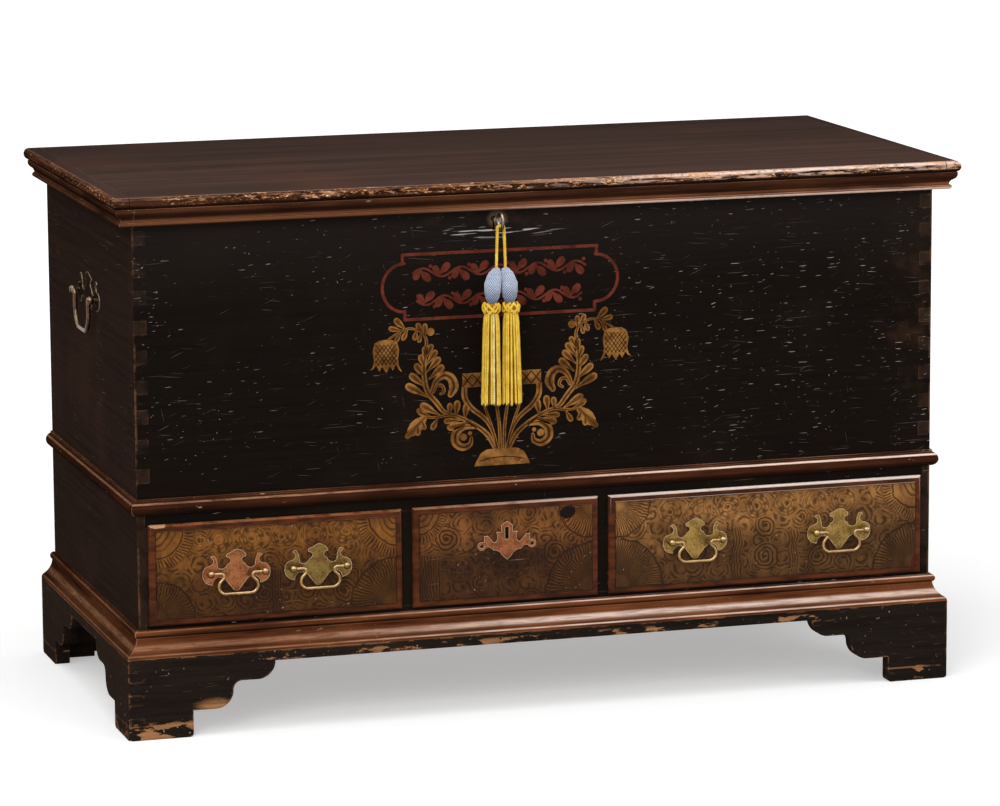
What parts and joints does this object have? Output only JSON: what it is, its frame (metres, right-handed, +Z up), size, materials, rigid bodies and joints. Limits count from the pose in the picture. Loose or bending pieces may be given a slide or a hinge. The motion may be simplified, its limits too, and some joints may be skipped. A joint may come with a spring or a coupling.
{
  "type": "mule chest",
  "caption": "Painted wooden mule chest: a hinged moulded lid over a deep box, lipped drawers with batwing brass pulls below, scrolled bracket feet, side handles and a tasselled key.",
  "frame": {"origin": "on the floor under the middle of the chest's bounding box", "axes": "+X to the right along the front, +Y to the back (the drawers open towards -Y), +Z up"},
  "size_m": [1.286, 0.6444, 0.788],
  "materials": {
    "painted_black": "old black paint, scratched and rubbed through to brown at the edges",
    "painted_edge": "old black paint",
    "plain_wood": "bare aged pine",
    "stained_moulding": "dark reddish-brown stain, worn bright on the edges",
    "stained_skirt": "dark brown stain over black, worn to bare wood at the feet",
    "stained_lid": "dark reddish-brown polish with a soft sheen",
    "grained_paint": "ochre and brown vinegar-grained paint under varnish",
    "drawer_wood": "bare aged pine",
    "brass": "old stamped brass, tarnished",
    "iron": "dark forged iron",
    "steel": "worn steel",
    "yellow_thread": "golden-yellow twisted thread",
    "blue_thread": "grey-blue woven thread"
  },
  "bodies": {
    "case": {"front_board": "painted_black", "back_board": "plain_wood", "left_side": "painted_black", "right_side": "painted_black", "chest_floor": "plain_wood", "drawer_rail": "painted_black", "bottom_board": "plain_wood", "left_divider": "painted_edge", "right_divider": "painted_edge", "till_wall": "plain_wood", "till_bottom": "plain_wood", "waist_moulding": "stained_moulding", "base_moulding": "stained_moulding", "skirt_front": "stained_skirt", "skirt_left": "stained_skirt", "skirt_right": "stained_skirt", "rear_brackets": "plain_wood", "foot_blocks": "plain_wood", "hinge_pads": "iron", "chest_lock": "iron", "handle_plates": "brass", "handle_posts": "brass"},
    "lid": {"lid_board": "stained_lid", "lid_cleats": "stained_lid", "lid_moulding": "stained_moulding", "hinge_straps": "iron", "lid_staple": "iron"},
    "key": {"key": "steel"},
    "lock_bolt": {"lock_bolt": "iron"},
    "tassel": {"tassel_cord_left": "yellow_thread", "tassel_cord_right": "yellow_thread", "tassel_heads": "blue_thread", "tassel_collars": "yellow_thread", "tassel_skirts": "yellow_thread"},
    "handle_left": {"handle_bail_left": "brass"},
    "handle_right": {"handle_bail_right": "brass"},
    "left_drawer": {"left_drawer_front": "grained_paint", "left_drawer_sides": "drawer_wood", "left_drawer_back": "drawer_wood", "left_drawer_bottom": "drawer_wood", "left_drawer_plates": "brass", "left_drawer_posts": "brass"},
    "middle_drawer": {"middle_drawer_front": "grained_paint", "middle_drawer_sides": "drawer_wood", "middle_drawer_back": "drawer_wood", "middle_drawer_bottom": "drawer_wood", "drawer_escutcheon": "brass", "drawer_lock": "iron"},
    "right_drawer": {"right_drawer_front": "grained_paint", "right_drawer_sides": "drawer_wood", "right_drawer_back": "drawer_wood", "right_drawer_bottom": "drawer_wood", "right_drawer_plates": "brass", "right_drawer_posts": "brass"},
    "drawer_bolt": {"drawer_bolt": "iron"},
    "left_bail_1": {"left_drawer_bail_1": "brass"},
    "left_bail_2": {"left_drawer_bail_2": "brass"},
    "right_bail_1": {"right_drawer_bail_1": "brass"},
    "right_bail_2": {"right_drawer_bail_2": "brass"}
  },
  "joints": [
    {"name": "lid_hinge", "type": "hinge", "parent": "case", "child": "lid", "pos_m": [0, 0.3162, 0.7645], "axis": [-1, 0, 0], "range_deg": [0, 100]},
    {"name": "key_turn", "type": "hinge", "parent": "case", "child": "key", "pos_m": [-0.073, -0.2753, 0.73], "axis": [0, 1, 0], "range_deg": [0, 90]},
    {"name": "lock_bolt_slide", "type": "slide", "parent": "case", "child": "lock_bolt", "axis": [-1, 0, 0], "range_m": [0, 0.012]},
    {"name": "tassel_swing", "type": "hinge", "parent": "key", "child": "tassel", "pos_m": [-0.073, -0.3083, 0.7185], "axis": [0, 1, 0], "range_deg": [-91, 1]},
    {"name": "handle_left_swing", "type": "hinge", "parent": "case", "child": "handle_left", "pos_m": [-0.6215, 0.0172, 0.604], "axis": [0, 1, 0], "range_deg": [0, 100]},
    {"name": "handle_right_swing", "type": "hinge", "parent": "case", "child": "handle_right", "pos_m": [0.6215, 0.0172, 0.604], "axis": [0, -1, 0], "range_deg": [0, 100]},
    {"name": "left_drawer_slide", "type": "slide", "parent": "case", "child": "left_drawer", "axis": [0, -1, 0], "range_m": [0, 0.38]},
    {"name": "middle_drawer_slide", "type": "slide", "parent": "case", "child": "middle_drawer", "axis": [0, -1, 0], "range_m": [0, 0.38]},
    {"name": "right_drawer_slide", "type": "slide", "parent": "case", "child": "right_drawer", "axis": [0, -1, 0], "range_m": [0, 0.38]},
    {"name": "left_bail_1_swing", "type": "hinge", "parent": "left_drawer", "child": "left_bail_1", "pos_m": [-0.467, -0.2958, 0.2365], "axis": [-1, 0, 0], "range_deg": [0, 95]},
    {"name": "left_bail_2_swing", "type": "hinge", "parent": "left_drawer", "child": "left_bail_2", "pos_m": [-0.345, -0.2958, 0.2365], "axis": [-1, 0, 0], "range_deg": [0, 95]},
    {"name": "right_bail_1_swing", "type": "hinge", "parent": "right_drawer", "child": "right_bail_1", "pos_m": [0.23325, -0.2958, 0.2365], "axis": [-1, 0, 0], "range_deg": [0, 95]},
    {"name": "right_bail_2_swing", "type": "hinge", "parent": "right_drawer", "child": "right_bail_2", "pos_m": [0.46125, -0.2958, 0.2365], "axis": [-1, 0, 0], "range_deg": [0, 95]},
    {"name": "drawer_bolt_slide", "type": "slide", "parent": "middle_drawer", "child": "drawer_bolt", "axis": [0, 0, 1], "range_m": [0, 0.01]}
  ],
  "couplings": [
    {"joint": "lock_bolt_slide", "follows": "key_turn", "m_per_rad": 0.0076331},
    {"joint": "tassel_swing", "follows": "key_turn", "ratio": -1}
  ]
}
